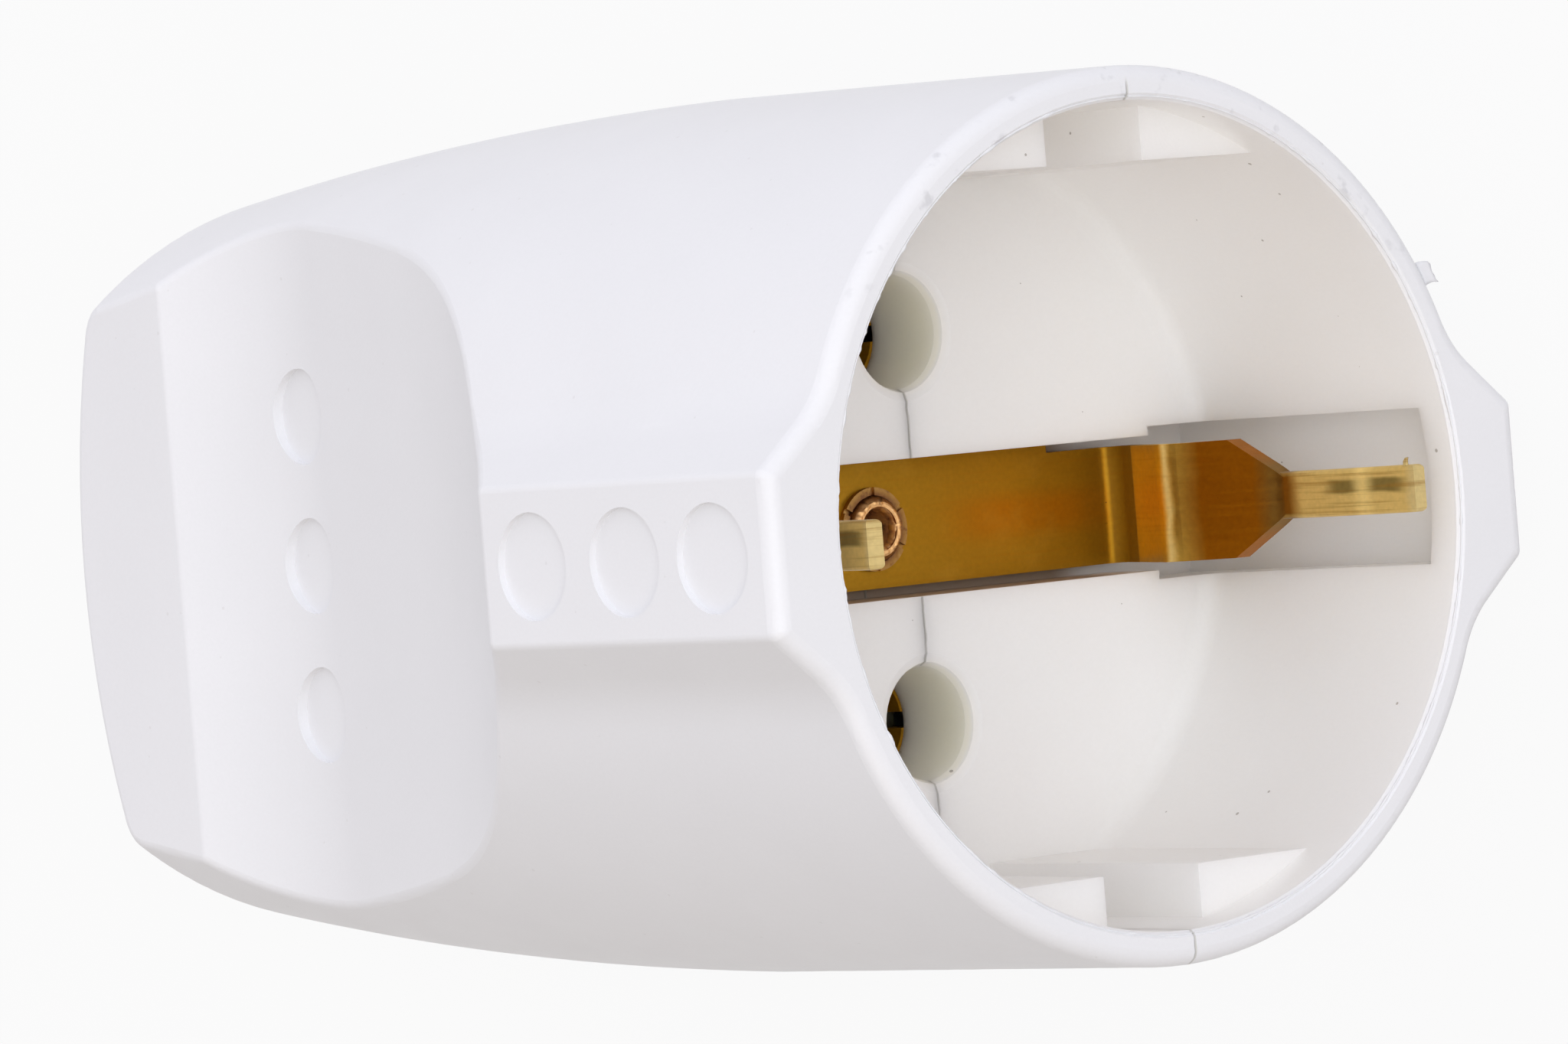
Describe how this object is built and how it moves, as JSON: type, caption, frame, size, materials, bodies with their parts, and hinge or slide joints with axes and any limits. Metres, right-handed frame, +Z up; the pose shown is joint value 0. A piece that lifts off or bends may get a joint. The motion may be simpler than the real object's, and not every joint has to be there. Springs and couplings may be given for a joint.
{
  "type": "earthed cord coupler",
  "caption": "White two-shell earthed cord coupler with a round recess, side earth strap, pin holes, finger scoops and a rear cable inlet.",
  "frame": {"origin": "centre of the foot of the bounding box, on the surface that the coupler lies on", "axes": "+X towards the mouth, +Y along the line of the two pin holes, +Z up; the coupler's own axis points along +X, nose up by its rest tilt"},
  "size_m": [0.0762, 0.043, 0.0506],
  "materials": {
    "housing_plastic": "semi-matt white moulded plastic",
    "brass": "bare stamped brass, slightly tarnished",
    "copper": "bare copper, rolled edge",
    "steel": "zinc-plated steel"
  },
  "bodies": {
    "root": {"upper_shell": "housing_plastic", "lower_shell": "housing_plastic", "earth_strap": "brass", "earth_rivet": "copper", "earth_bar": "brass", "earth_clamp_plate": "brass", "earth_terminal_screw": "steel", "line_contact": "brass", "line_spring_ring": "steel", "line_terminal_screw": "steel", "neutral_contact": "brass", "neutral_spring_ring": "steel", "neutral_terminal_screw": "steel", "cord_clamp": "housing_plastic", "clamp_screw_left": "steel", "clamp_screw_right": "steel", "housing_screw_front": "steel", "housing_screw_left": "steel", "housing_screw_right": "steel"}
  },
  "joints": []
}
